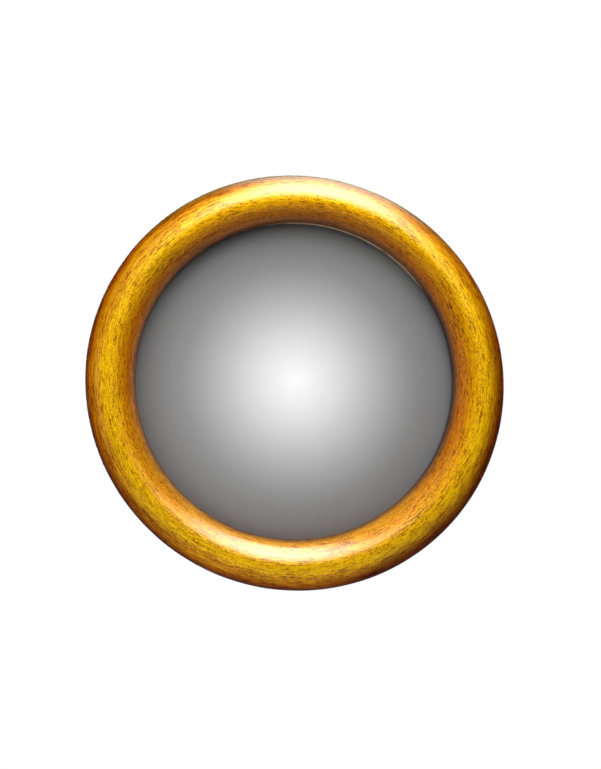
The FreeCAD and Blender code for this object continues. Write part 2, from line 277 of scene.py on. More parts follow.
def pale_floor(tree):
    # A painted floor, rolled in two matt coats: a fine speckle and no shine. The roller's own
    # stipple is under 1 mm, and is drawn at 11 mm so that it shows.
    spot = add(tree, "ShaderNodeTexCoord").outputs["Object"]
    reach = add(tree, "ShaderNodeVectorMath", {0: spot}, operation="LENGTH").outputs["Value"]
    fade = add(tree, "ShaderNodeMapRange", {
        "Value": reach, "From Min": FLOOR_PLAIN, "From Max": FLOOR_RADIUS})
    speckle = add(tree, "ShaderNodeTexNoise", {
        "Vector": spot, "Scale": FLOOR_SPECKLE, "Detail": 4.0})
    shade = add(tree, "ShaderNodeMapRange", {"Value": speckle, "To Min": 0.80, "To Max": 0.86})
    matt = add(tree, "ShaderNodeBsdfPrincipled", {"Base Color": shade, "Roughness": 0.9})
    bright = add(tree, "ShaderNodeEmission", {"Color": (1, 1, 1, 1), "Strength": 1.0})
    seen = add(tree, "ShaderNodeLightPath").outputs["Is Camera Ray"]
    lift = add(tree, "ShaderNodeMath", {0: fade, 1: seen}, operation="MULTIPLY")
    return add(tree, "ShaderNodeMixShader", {0: lift, 1: matt, 2: bright})


floor_shape = bmesh.new()
bmesh.ops.create_circle(floor_shape, cap_ends=True, radius=FLOOR_RADIUS, segments=FLOOR_SIDES)
floor_mesh = bpy.data.meshes.new("floor")
floor_shape.to_mesh(floor_mesh)
floor_shape.free()
floor_mesh.materials.append(finish("painted_floor", pale_floor))
floor = bpy.data.objects.new("floor", floor_mesh)
floor.location.z = FLOOR_LEVEL
floor.visible_glossy = False
bpy.context.scene.collection.objects.link(floor)
print("floor", FLOOR_LEVEL, "m below the mirror's middle")

# %% [markdown]
# ## Turning, as a Geometry Nodes tree
#
# The frame, its wooden segments and the glass are all the same kind of shape: a section swept
# round one axis, as on a lathe. So one tree makes them all. It lays a grid whose columns are steps
# round the axis and whose rows are the section's own points, so corners in the section stay where
# they are. A hand-made ring isn't a true circle, and its gesso is a little uneven, so the tree can
# push the outer edge out of round, waver the surface and press pits into it.

# %% The turning tree
WELD = 2e-6
SEED_STEP = 3.7
BOARD_STEP = 0.173
# Chips in gesso are about 5 mm across: one over that, in metres, and where their edges lie.
PIT_SCALE, PIT_EDGE = 190.0, (0.70, 0.78)
TURNING_INPUTS = (
    ("Section", "NodeSocketGeometry", None), ("Steps Around", "NodeSocketInt", 96),
    ("Start Angle", "NodeSocketFloat", 0.0), ("Sweep", "NodeSocketFloat", math.tau),
    ("Inner Radius", "NodeSocketFloat", 0.0), ("Outer Radius", "NodeSocketFloat", 1.0),
    ("Out Of Round", "NodeSocketFloat", 0.0), ("Long Axis", "NodeSocketFloat", 0.0),
    ("Shift Right", "NodeSocketFloat", 0.0), ("Shift Up", "NodeSocketFloat", 0.0),
    ("Ridge Out", "NodeSocketFloat", 0.0), ("Ridge Up", "NodeSocketFloat", 0.0),
    ("Lip Out", "NodeSocketFloat", 0.0), ("Lip Right", "NodeSocketFloat", 0.0),
    ("Lip Up", "NodeSocketFloat", 0.0),
    ("Waver", "NodeSocketFloat", 0.0), ("Waver Size", "NodeSocketFloat", 0.03),
    ("Pit Depth", "NodeSocketFloat", 0.0), ("Seed", "NodeSocketInt", 1),
    ("Finish", "NodeSocketMaterial", None),
)


def turning_tree():
    tree = bpy.data.node_groups.new("turned_piece", "GeometryNodeTree")
    for name, kind, default in TURNING_INPUTS:
        socket = tree.interface.new_socket(name, in_out="INPUT", socket_type=kind)
        if default is not None:
            socket.default_value = default
    tree.interface.new_socket("Turned Piece", in_out="OUTPUT", socket_type="NodeSocketGeometry")
    given = add(tree, "NodeGroupInput").outputs

    # A column for each step round the axis, and a row for each point of the section.
    section_size = add(tree, "GeometryNodeAttributeDomainSize", {0: given["Section"]})
    rows = section_size.outputs["Point Count"]
    columns = add(tree, "ShaderNodeMath", {0: given["Steps Around"], 1: 1.0}, operation="ADD")
    grid = add(tree, "GeometryNodeMeshGrid", {"Vertices X": columns, "Vertices Y": rows})
    index = add(tree, "GeometryNodeInputIndex")
    row = add(tree, "ShaderNodeMath", {0: index, 1: rows}, operation="MODULO")
    column = add(tree, "ShaderNodeMath", {
        0: add(tree, "ShaderNodeMath", {0: index, 1: rows}, operation="DIVIDE")}, operation="FLOOR")
    part = add(tree, "ShaderNodeMath", {0: column, 1: given["Steps Around"]}, operation="DIVIDE")
    clock = add(tree, "ShaderNodeMath", {0: part, 1: given["Sweep"], 2: given["Start Angle"]},
                operation="MULTIPLY_ADD")
    spot = add(tree, "GeometryNodeSampleIndex", {
        0: given["Section"], "Value": add(tree, "GeometryNodeInputPosition"), "Index": row},
        data_type="FLOAT_VECTOR")
    section = add(tree, "ShaderNodeSeparateXYZ", {0: spot}).outputs
    told = {}
    for name in ("across", "girth", "ridge", "lip"):
        field = add(tree, "GeometryNodeInputNamedAttribute", {"Name": name}, data_type="FLOAT")
        told[name] = add(tree, "GeometryNodeSampleIndex", {
            0: given["Section"], "Value": field, "Index": row}, data_type="FLOAT")

    # The outer edge goes out of round, and this fades to nothing at the inner one.
    outward = add(tree, "ShaderNodeMapRange", {
        "Value": section["X"],
        "From Min": given["Inner Radius"], "From Max": given["Outer Radius"]})
    twice = add(tree, "ShaderNodeMath", {
        0: add(tree, "ShaderNodeMath", {0: clock, 1: given["Long Axis"]}, operation="SUBTRACT"),
        1: 2.0}, operation="MULTIPLY")
    oval = add(tree, "ShaderNodeMath", {
        0: add(tree, "ShaderNodeMath", {0: twice}, operation="COSINE"), 1: given["Out Of Round"]},
        operation="MULTIPLY")
    sine = add(tree, "ShaderNodeMath", {0: clock}, operation="SINE")
    cosine = add(tree, "ShaderNodeMath", {0: clock}, operation="COSINE")
    sideways = add(tree, "ShaderNodeMath", {0: sine, 1: given["Shift Right"], 2: oval},
                   operation="MULTIPLY_ADD")
    wander = add(tree, "ShaderNodeMath", {0: cosine, 1: given["Shift Up"], 2: sideways},
                 operation="MULTIPLY_ADD")
    radius = add(tree, "ShaderNodeMath", {0: wander, 1: outward, 2: section["X"]},
                 operation="MULTIPLY_ADD")

    # The ridge of the crown shifts between its two edges, and the lip by an amount of its own.
    leaning = add(tree, "ShaderNodeMath", {0: cosine, 1: given["Ridge Up"], 2: given["Ridge Out"]},
                  operation="MULTIPLY_ADD")
    radius = add(tree, "ShaderNodeMath", {0: leaning, 1: told["ridge"], 2: radius},
                 operation="MULTIPLY_ADD")
    opening = add(tree, "ShaderNodeMath", {0: sine, 1: given["Lip Right"], 2: given["Lip Out"]},
                  operation="MULTIPLY_ADD")
    opening = add(tree, "ShaderNodeMath", {0: cosine, 1: given["Lip Up"], 2: opening},
                  operation="MULTIPLY_ADD")
    radius = add(tree, "ShaderNodeMath", {0: opening, 1: told["lip"], 2: radius},
                 operation="MULTIPLY_ADD")
    turned = add(tree, "ShaderNodeCombineXYZ", {
        "X": add(tree, "ShaderNodeMath", {0: radius, 1: sine}, operation="MULTIPLY"),
        "Y": section["Y"],
        "Z": add(tree, "ShaderNodeMath", {0: radius, 1: cosine}, operation="MULTIPLY")})

    # Grain runs along the middle of the sweep, in each piece's own place in the board.
    middle = add(tree, "ShaderNodeMath", {0: given["Sweep"], 1: 0.5, 2: given["Start Angle"]},
                 operation="MULTIPLY_ADD")
    unturned = add(tree, "ShaderNodeVectorRotate", {
        "Vector": turned, "Axis": (0, 1, 0), "Angle": middle},
        rotation_type="AXIS_ANGLE", invert=True)
    board = add(tree, "ShaderNodeMath", {0: given["Seed"], 1: BOARD_STEP}, operation="MULTIPLY")
    board = add(tree, "ShaderNodeCombineXYZ", {"X": board, "Z": board})
    grain = add(tree, "ShaderNodeVectorMath", {0: unturned, 1: board}, operation="ADD")

    mesh = grid
    for name in ("across", "girth"):
        mesh = add(tree, "GeometryNodeStoreNamedAttribute", {
            0: mesh, "Name": name, "Value": told[name]}, data_type="FLOAT")
    mesh = add(tree, "GeometryNodeStoreNamedAttribute", {
        0: mesh, "Name": "grain", "Value": grain}, data_type="FLOAT_VECTOR")
    mesh = add(tree, "GeometryNodeSetPosition", {0: mesh, "Position": turned})
    mesh = add(tree, "GeometryNodeMergeByDistance", {0: mesh, "Distance": WELD})

    # The gesso wavers, and has small pits where it chipped.
    at = add(tree, "GeometryNodeInputPosition")
    scale = add(tree, "ShaderNodeMath", {0: 1.0, 1: given["Waver Size"]}, operation="DIVIDE")
    seed = add(tree, "ShaderNodeMath", {0: given["Seed"], 1: SEED_STEP}, operation="MULTIPLY")
    swell = add(tree, "ShaderNodeTexNoise", {
        "Vector": at, "W": seed, "Scale": scale, "Detail": 2.0}, noise_dimensions="4D")
    rise = add(tree, "ShaderNodeMath", {
        0: add(tree, "ShaderNodeMath", {0: swell, 1: 0.5}, operation="SUBTRACT"),
        1: given["Waver"]}, operation="MULTIPLY")
    chips = add(tree, "ShaderNodeTexNoise", {
        "Vector": at, "W": seed, "Scale": PIT_SCALE, "Detail": 1.0}, noise_dimensions="4D")
    pit = add(tree, "ShaderNodeMapRange", {
        "Value": chips, "From Min": PIT_EDGE[0], "From Max": PIT_EDGE[1]},
        interpolation_type="SMOOTHSTEP")
    sunk = add(tree, "ShaderNodeMath", {0: pit, 1: given["Pit Depth"]}, operation="MULTIPLY")
    lift = add(tree, "ShaderNodeMath", {0: rise, 1: sunk}, operation="SUBTRACT")
    push = add(tree, "ShaderNodeVectorMath", {
        0: add(tree, "GeometryNodeInputNormal"), "Scale": lift}, operation="SCALE")
    mesh = add(tree, "GeometryNodeSetPosition", {0: mesh, "Offset": push})
    mesh = add(tree, "GeometryNodeRealizeInstances", {0: mesh})
    mesh = add(tree, "GeometryNodeSetMaterial", {0: mesh, "Material": given["Finish"]})
    add(tree, "NodeGroupOutput", {0: mesh})
    return tree


turning = turning_tree()
print("turning tree:", len(turning.nodes), "nodes")

# %% [markdown]
# A tree needs something to work on. `turn` makes the section as a chain of points. Each is told
# how far across the frame it lies, how far along the section's girth, and how much it moves with
# the crown's ridge and with the lip. It runs the tree on them and keeps the result as a plain
# mesh. A segment's open ends are filled, and the faces are made to point outwards.

# %% Turn a section into a piece
SHARP_ANGLE = math.radians(38)


def run_tree(obj, tree, values):
    """Runs a Geometry Nodes tree on an object and leaves the result as its plain mesh."""
    modifier = obj.modifiers.new(tree.name, "NODES")
    modifier.node_group = tree
    known = {item.name: item.identifier for item in tree.interface.items_tree
             if item.in_out == "INPUT"}
    for name, value in values.items():
        modifier[known[name]] = value
    bpy.context.view_layer.update()
    evaluated = obj.evaluated_get(bpy.context.evaluated_depsgraph_get())
    mesh = bpy.data.meshes.new_from_object(evaluated)
    obj.modifiers.clear()
    obj.data = mesh
    mesh.name = obj.name


def turn(name, section, body, slot, replaced, **values):
    """A piece swept from a closed section of (radius, depth, across) points in metres."""
    mesh = bpy.data.meshes.new(name)
    points = [(radius, BACK - depth, 0.0) for radius, depth, across in section]
    mesh.from_pydata(points, [(i, i + 1) for i in range(len(points) - 1)], [])
    told = {"across": [], "girth": [], "ridge": [], "lip": []}
    girth, last = 0.0, points[0]
    for point, (radius, depth, across) in zip(points, section):
        girth += (Vector(point) - Vector(last)).length
        last = point
        on_crown = depth > SPRING
        inward = max(0.0, (CROWN_RADIUS - radius) / ROUND_RADIUS)
        told["across"].append(across)
        told["girth"].append(girth)
        told["ridge"].append(math.sin(math.pi * across) if on_crown else 0.0)
        told["lip"].append(inward if on_crown or radius < REBATE_RADIUS else 0.0)
    for label, numbers in told.items():
        mesh.attributes.new(label, "FLOAT", "POINT").data.foreach_set("value", numbers)
    piece = bpy.data.objects.new(name, mesh)
    bpy.context.scene.collection.objects.link(piece)
    run_tree(piece, turning, values)
    work = bmesh.new()
    work.from_mesh(piece.data)
    bmesh.ops.remove_doubles(work, verts=work.verts, dist=WELD)
    ends = [edge for edge in work.edges if edge.is_boundary]
    if ends:
        bmesh.ops.holes_fill(work, edges=ends)
    bmesh.ops.recalc_face_normals(work, faces=work.faces)
    for face in work.faces:
        face.smooth = True
    work.to_mesh(piece.data)
    work.free()
    piece.data.set_sharp_from_angle(angle=SHARP_ANGLE)
    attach(piece, body)
    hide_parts(*replaced)
    print(f"{name}: {len(piece.data.polygons)} faces")
    return piece


# %% [markdown]
# ## The gilded skin
#
# Gilding starts with gesso, a skin of chalk and glue, then a thin coat of red clay called bole,
# then leaf. The leaf is rubbed until the bole shows at the edges, and toned with a brown wash that
# stays in every pit. The leaf here is imitation gold under a tinted varnish, so it is a deep, warm
# yellow with a white sheen on top, and not a bare metal. The colour across the frame goes from
# maroon bole at the outer edge over leaf to orange-brown at the lip. "Across" runs from 0 where
# the frame is widest to 1 at the lip, and below 0 down the side wall.

# %% Sizes of the section
BACK = -5 * MM
SIGHT_RADIUS = 151 * MM
FRAME_RADIUS = 200 * MM
FRAME_DEPTH = 40 * MM
ROUND_RADIUS = (FRAME_RADIUS - SIGHT_RADIUS) / 2
CROWN_RADIUS = (FRAME_RADIUS + SIGHT_RADIUS) / 2
SPRING = FRAME_DEPTH - ROUND_RADIUS
REBATE_RADIUS = 157 * MM
REBATE_DEPTH = 13 * MM
BACK_EDGE = 6 * MM
SKIN = 1.2 * MM


def plan(radius, depth=FRAME_DEPTH):
    """How far across the frame a point lies."""
    if radius > CROWN_RADIUS and depth < SPRING:
        return (depth - SPRING) / FRAME_DEPTH
    return min(1.0, max(0.0, (FRAME_RADIUS - radius) / (FRAME_RADIUS - SIGHT_RADIUS)))


def arc(middle, depth, radius, start, end, steps):
    """Points of an arc in the section, by angles from outwards towards the front, in degrees."""
    turns = [math.radians(start + (end - start) * i / steps) for i in range(steps + 1)]
    return [(middle + radius * math.cos(a), depth + radius * math.sin(a)) for a in turns]


def outer_line(inset, steps_round, steps_side):
    """The section's outside, from the back up the outer wall and over the crown to the lip."""
    radius = FRAME_RADIUS - inset
    edge = BACK_EDGE - inset
    side = [(radius, BACK_EDGE + (SPRING - BACK_EDGE) * i / steps_side)
            for i in range(1, steps_side)]
    crown = arc(CROWN_RADIUS, SPRING, ROUND_RADIUS - inset, 0, 180, steps_round)
    return arc(radius - edge, edge, edge, -90, 0, max(3, steps_side)) + side + crown


# %% The gilding's finish
LEAF_STOPS = (
    # place across, from the back of the side wall over the crown to the lip, and colour
    (-0.40, "#4a2410"), (-0.30, "#8a5210"), (-0.12, "#a0600c"), (-0.03, "#6a260a"),
    (0.0, "#4a160a"), (0.02, "#722a0a"), (0.06, "#9c4e08"), (0.15, "#bc7806"), (0.25, "#ce9404"),
    (0.35, "#deae04"), (0.46, "#deb204"), (0.56, "#d4a604"), (0.65, "#cc9204"), (0.75, "#c48604"),
    (0.85, "#bc7006"), (0.95, "#b06c0e"), (1.0, "#7c4412"),
)
MARKS = (
    # name, length and width in millimetres, slant in degrees, detail, roughness
    ("brush", 16.0, 1.2, 2.0, 4.0, 0.68), ("fine", 6.0, 0.75, 7.0, 2.0, 0.6),
    ("counter", 6.0, 0.8, -9.0, 2.0, 0.6), ("band", 70.0, 5.0, 0.0, 4.0, 0.6),
    ("dash", 10.0, 0.95, -6.0, 1.5, 0.5), ("wear", 38.0, 11.0, 4.0, 3.0, 0.6),
)
# The pad's real scratches are a tenth of a millimetre wide, and are drawn at 0.75 mm and up so
# that they show. The grain of the gesso under the leaf is drawn at about 1 mm.
GRAIN_SCALE = 900.0
RAGGED = (("band", 0.07), ("brush", 0.05), ("wear", 0.05))
SHADES = (("brush", 0.50), ("fine", 0.34), ("counter", 0.22), ("grain", 0.36), ("wear", 0.18))
LEAF_TONES = ((0.0, "#725018"), (0.25, "#b89a70"), (0.55, "#e8e0c8"), (1.0, "#ffffff"))
TONE_GAIN = 1.38
# Painted light on the leaf: brighter where the frame faces downwards, on the outer half at the
# bottom and on the inner half at the top.
PAINTED_LIGHT_ON_LEAF = (
    # clock angle, cosines where it starts and is full, middle and half width across, added gain
    (188, 0.78, 0.96, 0.26, 0.24, 0.55), (0, 0.72, 0.95, 0.60, 0.17, 0.34),
)
STAINS = (
    # clock angle, radius and reach in millimetres, how much more brown toning lies there
    (16, 157, 12, 0.12), (26, 158, 14, 0.13), (33, 173, 8, 0.14), (230, 186, 12, 0.13),
    (245, 176, 9, 0.12), (92, 172, 14, 0.08), (140, 176, 16, 0.05), (312, 165, 12, 0.07),
)
EDGE_WEAR_AND_LIGHT = (
    # clock angle, cosines where it starts and is full, places across, colour, amount
    (3, 0.6, 0.85, 0.14, 0.05, "#86701a", 0.9),
    (122, 0.55, 0.85, 0.32, 0.10, "#680c04", 0.6),
    # Painted light: the lip's inner face at the bottom, which faces up, is a lighter gold.
    (190, 0.2, 0.75, 0.73, 0.84, "#c69414", 0.65),
    (165, -0.3, 0.2, 0.93, 0.99, "#5a2208", 0.75),
    # Painted shade: the lip's inner face at the upper right is darker.
    (60, 0.1, 0.6, 0.87, 0.99, "#40200a", 0.6),
    # Painted shadow: a black line in the gap between lip and glass at the right.
    (95, 0.72, 0.86, 0.985, 0.995, "#140804", 0.95),
    # White gesso at the lip's corner at the upper right, painted as a pale highlight where the edge
    # catches light.
    (22, 0.83, 0.93, 0.990, 0.998, "#e8d8c8", 0.9),
)


def sector(tree, around, clock, least, most, amount):
    """The amount in the middle of a sector of the frame, falling to 0 at its ends."""
    side = add(tree, "ShaderNodeVectorMath", {0: around, 1: pointing(clock, 90)},
               operation="DOT_PRODUCT").outputs["Value"]
    return add(tree, "ShaderNodeMapRange", {
        "Value": side, "From Min": least, "From Max": most, "To Max": amount})


def toned_leaf(tree):
    # Imitation gold leaf over red bole, on gesso. It was laid in strips, rubbed with a pad along
    # the frame, toned with brown wash and varnished. The eye sees a warm yellow broken by streaks
    # that run round the frame, with a soft white sheen from the varnish over it.
    spot = add(tree, "ShaderNodeTexCoord").outputs["Object"]
    across = add(tree, "ShaderNodeAttribute", attribute_name="across").outputs["Fac"]
    girth = add(tree, "ShaderNodeAttribute", attribute_name="girth").outputs["Fac"]
    flat = add(tree, "ShaderNodeVectorMath", {0: spot, 1: (1, 0, 1)}, operation="MULTIPLY")
    around = add(tree, "ShaderNodeVectorMath", {0: flat}, operation="NORMALIZE")

    # Patterns drawn out along the frame.
    marks = {}
    for name, length, width, slant, detail, rough in MARKS:
        lean = add(tree, "ShaderNodeMath", {
            0: girth, 1: math.tan(math.radians(slant)) / CROWN_RADIUS}, operation="MULTIPLY")
        leaned = add(tree, "ShaderNodeVectorRotate", {
            "Vector": around, "Axis": (0, 1, 0), "Angle": lean}, rotation_type="AXIS_ANGLE")
        ring_way = add(tree, "ShaderNodeVectorMath", {
            0: leaned, "Scale": CROWN_RADIUS / (length * MM)}, operation="SCALE")
        cross = add(tree, "ShaderNodeMath", {0: girth, 1: 1 / (width * MM)}, operation="MULTIPLY")
        cross_way = add(tree, "ShaderNodeCombineXYZ", {"Y": cross})
        way = add(tree, "ShaderNodeVectorMath", {0: ring_way, 1: cross_way}, operation="ADD")
        marks[name] = add(tree, "ShaderNodeTexNoise", {
            "Vector": way, "Scale": 1.0, "Detail": detail, "Roughness": rough}).outputs["Fac"]
    marks["grain"] = add(tree, "ShaderNodeTexNoise", {
        "Vector": spot, "Scale": GRAIN_SCALE, "Detail": 1.0}).outputs["Fac"]

    # The leaf's colour across the frame, its borders made ragged by the brush and by wear.
    place = across
    for name, reach in RAGGED:
        nudge = add(tree, "ShaderNodeMapRange", {
            "Value": marks[name], "From Min": 0.25, "From Max": 0.75,
            "To Min": -reach, "To Max": reach})
        place = add(tree, "ShaderNodeMath", {0: place, 1: nudge}, operation="ADD")
    edge = add(tree, "ShaderNodeMapRange", {"Value": across, "From Min": 0.0, "From Max": 0.09})
    place = add(tree, "ShaderNodeMix", {"Factor": edge, "A": across, "B": place})
    start = LEAF_STOPS[0][0]
    fac = add(tree, "ShaderNodeMapRange", {"Value": place, "From Min": start, "From Max": 1.0})
    leaf = colour_ramp(add(tree, "ShaderNodeValToRGB", {"Fac": fac}), [
        ((at - start) / (1.0 - start), colour) for at, colour in LEAF_STOPS])

    # Colour differs round the frame, partly as wear and partly as painted light and shade. The
    # outer edge keeps its gold at the top and shows red bole at the lower right. The lip is painted
    # lighter at the bottom, where it faces up, and darker at the upper right; a black line at the
    # right is a painted shadow in the gap by the glass; and the lip's corner at the upper right
    # shows white gesso painted as a pale highlight. The side wall isn't handled, so it keeps its
    # own colour.
    front = add(tree, "ShaderNodeMapRange", {"Value": across, "From Min": -0.12, "From Max": -0.02})
    for clock, least, most, start, end, colour, amount in EDGE_WEAR_AND_LIGHT:
        side = sector(tree, around, clock, least, most, amount)
        near = add(tree, "ShaderNodeMapRange", {
            "Value": across, "From Min": start, "From Max": end})
        near = add(tree, "ShaderNodeMath", {0: near, 1: front}, operation="MULTIPLY")
        wear_and_painted_light = add(tree, "ShaderNodeMath", {0: side, 1: near}, operation="MULTIPLY")
        leaf = add(tree, "ShaderNodeMix", {
            "Factor": wear_and_painted_light, "A": leaf, "B": linear(colour)}, data_type="RGBA")

    # Streaks and grain take the leaf from full gold down to the orange of thin leaf over bole.
    shade = 0.0
    for name, most in SHADES:
        part = add(tree, "ShaderNodeMapRange", {
            "Value": marks[name], "From Min": 0.34, "From Max": 0.66, "To Max": most})
        shade = add(tree, "ShaderNodeMath", {0: shade, 1: part}, operation="ADD")
    fullness = add(tree, "ShaderNodeMapRange", {"Value": shade, "From Min": 0.36, "From Max": 1.24})
    tone = colour_ramp(add(tree, "ShaderNodeValToRGB", {"Fac": fullness}), LEAF_TONES)
    leaf = add(tree, "ShaderNodeMix", {"Factor": 1.0, "A": leaf, "B": tone},
               data_type="RGBA", blend_type="MULTIPLY", clamp_result=False)
    # Painted light: the leaf is made brighter where the frame faces downwards.
    gain = TONE_GAIN
    for clock, least, most, middle, half, more in PAINTED_LIGHT_ON_LEAF:
        side = sector(tree, around, clock, least, most, more)
        away = add(tree, "ShaderNodeMath", {0: across, 1: middle}, operation="SUBTRACT")
        away = add(tree, "ShaderNodeMath", {0: away}, operation="ABSOLUTE")
        near = add(tree, "ShaderNodeMapRange", {
            "Value": away, "From Min": half, "From Max": 0.4 * half})
        gain = add(tree, "ShaderNodeMath", {0: side, 1: near, 2: gain}, operation="MULTIPLY_ADD")
    leaf = add(tree, "ShaderNodeMix", {"Factor": 1.0, "A": leaf, "B": gain},
               data_type="RGBA", blend_type="MULTIPLY", clamp_result=False)

    # Brown toning lies in short crisp dashes, more of it where the leaf is worn.
    wear_and_painted_light = add(tree, "ShaderNodeMath", {0: marks["wear"], 1: -0.36}, operation="MULTIPLY")
    dash = add(tree, "ShaderNodeMath", {0: marks["dash"], 1: wear_and_painted_light}, operation="ADD")
    for clock, radius, reach, strength in STAINS:
        away = add(tree, "ShaderNodeVectorMath", {
            0: flat, 1: pointing(clock, 90) * radius * MM}, operation="DISTANCE").outputs["Value"]
        stain = add(tree, "ShaderNodeMapRange", {
            "Value": away, "From Max": reach * MM, "To Min": strength, "To Max": 0.0})
        dash = add(tree, "ShaderNodeMath", {0: dash, 1: stain}, operation="ADD")
    toning = add(tree, "ShaderNodeMapRange", {
        "Value": dash, "From Min": 0.52, "From Max": 0.57, "To Max": 0.9})
    leaf = add(tree, "ShaderNodeMix", {
        "Factor": toning, "A": leaf, "B": linear("#2e1804")}, data_type="RGBA")

    # Roughness and relief follow the same marks. The varnish has a higher IOR than a real one,
    # to stand in for the leaf's own gleam.
    rough = add(tree, "ShaderNodeMapRange", {"Value": fullness, "To Min": 0.58, "To Max": 0.42})
    height = add(tree, "ShaderNodeMath", {0: shade, 1: toning}, operation="SUBTRACT")
    relief = add(tree, "ShaderNodeBump", {
        "Strength": 0.5, "Distance": 0.15 * MM, "Height": height})
    return add(tree, "ShaderNodeBsdfPrincipled", {
        "Base Color": leaf, "Metallic": 0.38, "Roughness": rough, "Normal": relief,
        "Specular IOR Level": 0.0, "Coat Weight": 1.0, "Coat Roughness": 0.24, "Coat IOR": 1.75})


gilding = finish("imitation_gold_leaf_over_red_bole", toned_leaf)
print("gilding has", len(gilding.node_tree.nodes), "nodes")

# %% [markdown]
# No hand-made frame is a true circle. Against the measured one, this frame's outer edge is 1.45 mm
# out of round and 1.6 mm to the right, its ridge sits a little low, and its lip is a little wide.

# %% Turn the gilded skin
SKIN_STEPS = 800
SHAPE = {
    "Inner Radius": SIGHT_RADIUS, "Outer Radius": FRAME_RADIUS, "Out Of Round": 1.45 * MM,
    "Long Axis": math.radians(119), "Shift Right": 1.6 * MM, "Shift Up": -0.6 * MM,
    "Ridge Out": 0.3 * MM, "Ridge Up": -1.7 * MM,
    "Lip Out": 0.85 * MM, "Lip Right": 0.4 * MM, "Lip Up": 0.4 * MM,
}
outside = [(r, d, plan(r, d)) for r, d in outer_line(0.0, 76, 8)]
lip_height = SPRING - REBATE_DEPTH
lip = [(SIGHT_RADIUS, REBATE_DEPTH + lip_height * i / 3, 1.0) for i in (2, 1, 0)]
inside = [(r, d, plan(r)) for r, d in reversed(outer_line(SKIN, 16, 3))]
inside = [(r, max(d, 0.0), t) for r, d, t in inside]
under = [(SIGHT_RADIUS + SKIN, REBATE_DEPTH, 1.0)]
section = outside + lip + under + inside
section.append(section[0])
turn("gilded_skin", section, "mirror", "gilding", ["gilded_coat"], **SHAPE,
     **{"Steps Around": SKIN_STEPS, "Waver": 0.5 * MM, "Waver Size": 35 * MM,
        "Pit Depth": 0.3 * MM, "Seed": 4, "Finish": gilding})

# %% [markdown]
# ## The looking glass
#
# The dome is one slice of a sphere, silvered behind. A sphere's mirror image has to be perfectly
# smooth, so it is turned from many fine steps. Near the edge the silver gives way to a dull grey,
# and that grey is painted as shade: darker towards the rim and at the top, lighter at the bottom.

# %% The silvering's finish
GLASS_SPHERE = 500 * MM
GLASS_RIM = 156 * MM
GLASS_THICKNESS = 3 * MM
GLASS_GAP = 0.3 * MM
SPHERE_LEVEL = REBATE_DEPTH - GLASS_GAP - math.sqrt(GLASS_SPHERE**2 - SIGHT_RADIUS**2)
GLASS_STEPS = 360
SILVER_FADES = (110 * MM, 125 * MM)
SPECKLED = 11 * MM
SPECK_SCALE = 4000.0
SILVER = 0.98
RIM_GREYS = (
    # share of the glass's radius, grey of the dull patches, darker outwards as painted shade
    (0.0, "#7e7e7e"), (0.7179, "#7e7e7e"), (0.8077, "#757575"), (0.9615, "#6e6e6e"),
    (1.0, "#6a6a6a"),
)
# Painted light and shade on the dull patches, lighter at the bottom and darker at the top: the
# clock angle where they are lightest, and how bright they are far from it and at it.
RIM_LIT_CLOCK = 170
RIM_SHADE_LEVELS = (0.79, 1.25)


def silvered(tree):
    # Looking glass: a pane slumped hot over a dome, silvered behind and sealed with paint. The
    # front was never ground, so the image is sharp. Near the rim the silver is dull and grey, and
    # the grey is painted darker towards the rim and at the top as shade. The specks of its failing
    # are too fine for a camera to part, and only soften the border.
    spot = add(tree, "ShaderNodeTexCoord").outputs["Object"]
    flat = add(tree, "ShaderNodeVectorMath", {0: spot, 1: (1, 0, 1)}, operation="MULTIPLY")
    radius = add(tree, "ShaderNodeVectorMath", {0: flat}, operation="LENGTH").outputs["Value"]
    specks = add(tree, "ShaderNodeTexNoise", {"Vector": spot, "Scale": SPECK_SCALE, "Detail": 0.0})
    ragged = add(tree, "ShaderNodeMapRange", {
        "Value": specks, "From Min": 0.2, "From Max": 0.8, "To Min": -SPECKLED, "To Max": SPECKLED})
    edge = add(tree, "ShaderNodeMath", {0: radius, 1: ragged}, operation="ADD")
    metal = add(tree, "ShaderNodeMapRange", {
        "Value": edge, "From Min": SILVER_FADES[0], "From Max": SILVER_FADES[1],
        "To Min": 1.0, "To Max": 0.0})
    inward = add(tree, "ShaderNodeMath", {0: radius, 1: 1 / GLASS_RIM}, operation="MULTIPLY")
    dull_grey_and_shade = colour_ramp(add(tree, "ShaderNodeValToRGB", {"Fac": inward}), RIM_GREYS)
    # Painted shade: the dull grey is darker at the top and lighter at the bottom.
    side = add(tree, "ShaderNodeVectorMath", {
        0: add(tree, "ShaderNodeVectorMath", {0: flat}, operation="NORMALIZE"),
        1: pointing(RIM_LIT_CLOCK, 90)}, operation="DOT_PRODUCT").outputs["Value"]
    rim_shade = add(tree, "ShaderNodeMapRange", {
        "Value": side, "From Min": -1.0, "From Max": 1.0, "To Min": RIM_SHADE_LEVELS[0], "To Max": RIM_SHADE_LEVELS[1]})
    dull_grey_and_shade = add(tree, "ShaderNodeMath", {0: dull_grey_and_shade, 1: rim_shade}, operation="MULTIPLY")

    # The grey is far brighter in the light than the glow is in the silver, so where one gives way
    # to the other, both are dimmed to keep the dome's shading even.
    lost = add(tree, "ShaderNodeMath", {0: 1.0, 1: metal}, operation="SUBTRACT")
    lost = add(tree, "ShaderNodeMath", {0: lost, 1: dull_grey_and_shade}, operation="DIVIDE")
    both = add(tree, "ShaderNodeMath", {0: metal, 1: 1 / SILVER, 2: lost}, operation="MULTIPLY_ADD")
    tint = add(tree, "ShaderNodeMath", {0: 1.0, 1: both}, operation="DIVIDE")
    return add(tree, "ShaderNodeBsdfPrincipled", {
        "Base Color": tint, "Metallic": metal, "Roughness": 0.0, "Specular IOR Level": 0.0})


silvering = finish("silvered_glass", silvered)


